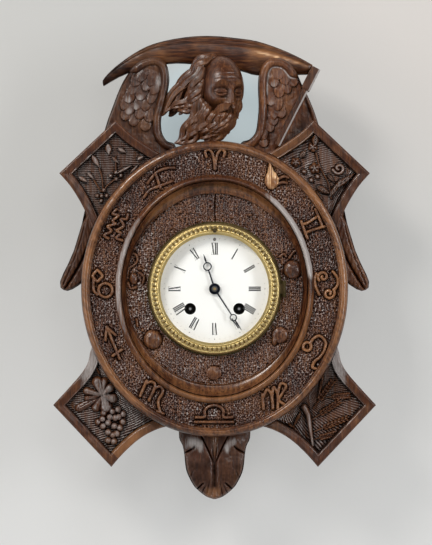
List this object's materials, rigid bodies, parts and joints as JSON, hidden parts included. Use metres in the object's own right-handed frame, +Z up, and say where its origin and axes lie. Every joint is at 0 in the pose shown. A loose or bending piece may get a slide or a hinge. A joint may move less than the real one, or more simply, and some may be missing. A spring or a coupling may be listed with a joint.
{
  "type": "carved wall clock",
  "caption": "Carved oak wall clock: oval zodiac ring with four corner panels, wings, scythe and bearded head, hinged brass bezel, white Roman dial, pendulum movement in a rear case.",
  "frame": {"origin": "centre of the hole in the hanging plate, on the wall's plane", "axes": "+Z up, -Y out of the wall towards the viewer, +X to the viewer's right"},
  "size_m": [0.2908, 0.1059, 0.4184],
  "materials": {
    "carved_oak": "waxed, worn on the edges",
    "dark_oak": "waxed",
    "brass": "satin",
    "gilt_brass": "polished, lacquered",
    "polished_steel": "polished",
    "blued_steel": "blued",
    "bell_metal": "turned",
    "enamel": "gloss",
    "glass": "clear"
  },
  "bodies": {
    "case": {"main_board": "carved_oak", "zodiac_ring": "carved_oak", "inner_panel": "dark_oak", "upper_left_panel": "carved_oak", "upper_right_panel": "carved_oak", "lower_left_panel": "carved_oak", "lower_right_panel": "carved_oak", "left_wing": "carved_oak", "right_wing": "carved_oak", "scythe_blade": "carved_oak", "scythe_ferrule": "carved_oak", "scythe_shaft": "carved_oak", "bearded_head": "carved_oak", "leaf_pendant": "carved_oak", "case_left_side": "dark_oak", "case_right_side": "dark_oak", "case_top": "dark_oak", "case_bottom": "dark_oak", "door_hinges_fixed": "brass", "hanging_plate": "brass", "wood_screws": "polished_steel", "bezel_base": "gilt_brass", "sight_ring": "gilt_brass", "dial_plate": "brass", "enamel_dial": "enamel", "front_plate": "brass", "back_plate": "brass", "pillars": "brass", "movement_screws": "polished_steel", "going_barrel": "brass", "strike_barrel": "brass", "mainsprings": "blued_steel", "centre_arbor": "brass", "second_wheel": "brass", "third_wheel": "brass", "escape_wheel": "brass", "strike_wheels": "brass", "suspension_cock": "brass", "bell": "bell_metal"},
    "bezel_door": {"bezel_ring": "gilt_brass", "bezel_glass": "glass"},
    "rear_door": {"back_door": "dark_oak", "door_hinges_moving": "brass"},
    "door_button": {"turn_button": "brass"},
    "minute_hand_group": {"minute_hand": "blued_steel", "cannon_pinion": "polished_steel", "hand_nut": "brass"},
    "hour_hand_group": {"hour_hand": "blued_steel", "hour_wheel": "brass"},
    "minute_wheel_group": {"minute_wheel": "brass"},
    "going_winder": {"going_arbor": "polished_steel"},
    "strike_winder": {"strike_arbor": "polished_steel"},
    "going_click_arm": {"going_click": "polished_steel"},
    "strike_click_arm": {"strike_click": "polished_steel"},
    "pendulum": {"suspension_spring": "blued_steel", "pendulum_rod": "brass", "pendulum_bob": "brass"},
    "crutch": {"pallets": "polished_steel"},
    "hammer": {"bell_hammer": "polished_steel"},
    "regulator": {"regulator_arbor": "polished_steel"}
  },
  "joints": [
    {"name": "bezel_hinge", "type": "hinge", "parent": "case", "child": "bezel_door", "pos_m": [0.0626, -0.0958, -0.1], "axis": [0, 0, 1], "range_deg": [0, 110]},
    {"name": "back_door_hinge", "type": "hinge", "parent": "case", "child": "rear_door", "pos_m": [-0.0708, -0.002, -0.1], "axis": [0, 0, 1], "range_deg": [0, 100]},
    {"name": "turn_button_pivot", "type": "hinge", "parent": "case", "child": "door_button", "pos_m": [0.0755, -0.0003, -0.108], "axis": [0, 1, 0], "range_deg": [0, 90]},
    {"name": "minute_hand_spin", "type": "hinge", "parent": "case", "child": "minute_hand_group", "pos_m": [0, -0.09, -0.1], "axis": [0, 1, 0], "continuous": true},
    {"name": "hour_hand_spin", "type": "hinge", "parent": "case", "child": "hour_hand_group", "pos_m": [0, -0.09, -0.1], "axis": [0, 1, 0], "continuous": true},
    {"name": "minute_wheel_spin", "type": "hinge", "parent": "case", "child": "minute_wheel_group", "pos_m": [0, -0.086, -0.0892], "axis": [0, 1, 0], "continuous": true},
    {"name": "going_winding", "type": "hinge", "parent": "case", "child": "going_winder", "pos_m": [0.022, -0.086, -0.118], "axis": [0, 1, 0], "continuous": true},
    {"name": "strike_winding", "type": "hinge", "parent": "case", "child": "strike_winder", "pos_m": [-0.022, -0.086, -0.118], "axis": [0, -1, 0], "continuous": true},
    {"name": "going_click_pivot", "type": "hinge", "parent": "case", "child": "going_click_arm", "pos_m": [0.0302, -0.085, -0.1075], "axis": [0, -1, 0], "range_deg": [0, 10], "stiffness_Nm_per_rad": 0.002, "springref_deg": -2.86},
    {"name": "strike_click_pivot", "type": "hinge", "parent": "case", "child": "strike_click_arm", "pos_m": [-0.0302, -0.085, -0.1075], "axis": [0, 1, 0], "range_deg": [0, 10], "stiffness_Nm_per_rad": 0.002, "springref_deg": -2.86},
    {"name": "pendulum_swing", "type": "hinge", "parent": "case", "child": "pendulum", "pos_m": [0, -0.033, -0.0626], "axis": [0, 1, 0], "range_deg": [-3, 3]},
    {"name": "crutch_swing", "type": "hinge", "parent": "case", "child": "crutch", "pos_m": [0, -0.038, -0.0626], "axis": [0, 1, 0], "range_deg": [-3, 3]},
    {"name": "hammer_lift", "type": "hinge", "parent": "case", "child": "hammer", "pos_m": [-0.016, -0.038, -0.069], "axis": [0, 1, 0], "range_deg": [0, 12], "stiffness_Nm_per_rad": 0.01, "springref_deg": -11.46},
    {"name": "regulator_turn", "type": "hinge", "parent": "case", "child": "regulator", "pos_m": [0, -0.06, -0.0555], "axis": [0, 1, 0], "continuous": true}
  ],
  "couplings": [
    {"joint": "hour_hand_spin", "follows": "minute_hand_spin", "ratio": 0.083333},
    {"joint": "minute_wheel_spin", "follows": "minute_hand_spin", "ratio": -0.33333},
    {"joint": "crutch_swing", "follows": "pendulum_swing", "ratio": 1}
  ]
}
